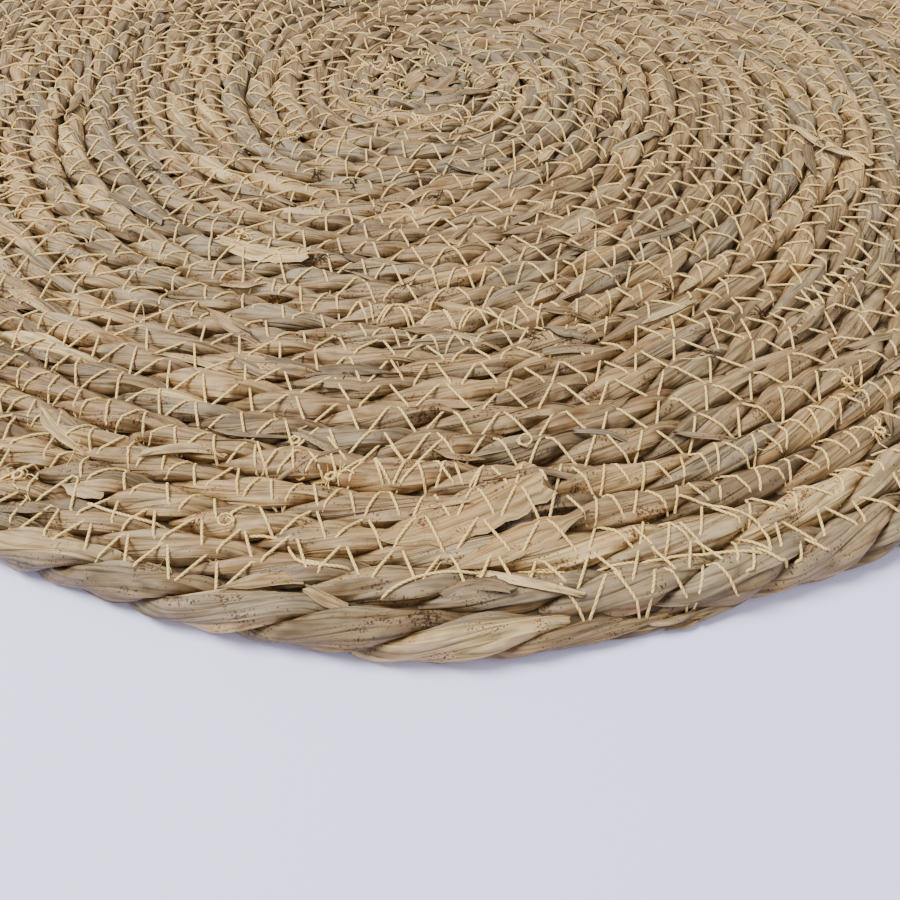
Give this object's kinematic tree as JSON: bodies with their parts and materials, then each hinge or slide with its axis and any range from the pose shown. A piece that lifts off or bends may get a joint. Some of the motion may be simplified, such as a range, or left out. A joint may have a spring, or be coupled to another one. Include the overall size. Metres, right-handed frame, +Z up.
{
  "type": "round palm leaf mat",
  "caption": "Round table mat of twisted palm leaf rope, coiled flat in a spiral and stitched turn to turn with cotton thread.",
  "frame": {"origin": "middle of the footprint, on the underside that rests on the table", "axes": "+Z up through the mat's thickness; the rope's tail ends on the rim at the front right, 74 degrees clockwise from +X towards -Y"},
  "size_m": [0.3814, 0.3848, 0.0084],
  "materials": {
    "dried_palm_leaf": "matt dried palm leaf in tan and grey-tan strips, with fine lengthwise fibres"
  },
  "bodies": {
    "root": {"coiled_mat": "dried_palm_leaf"}
  },
  "joints": []
}
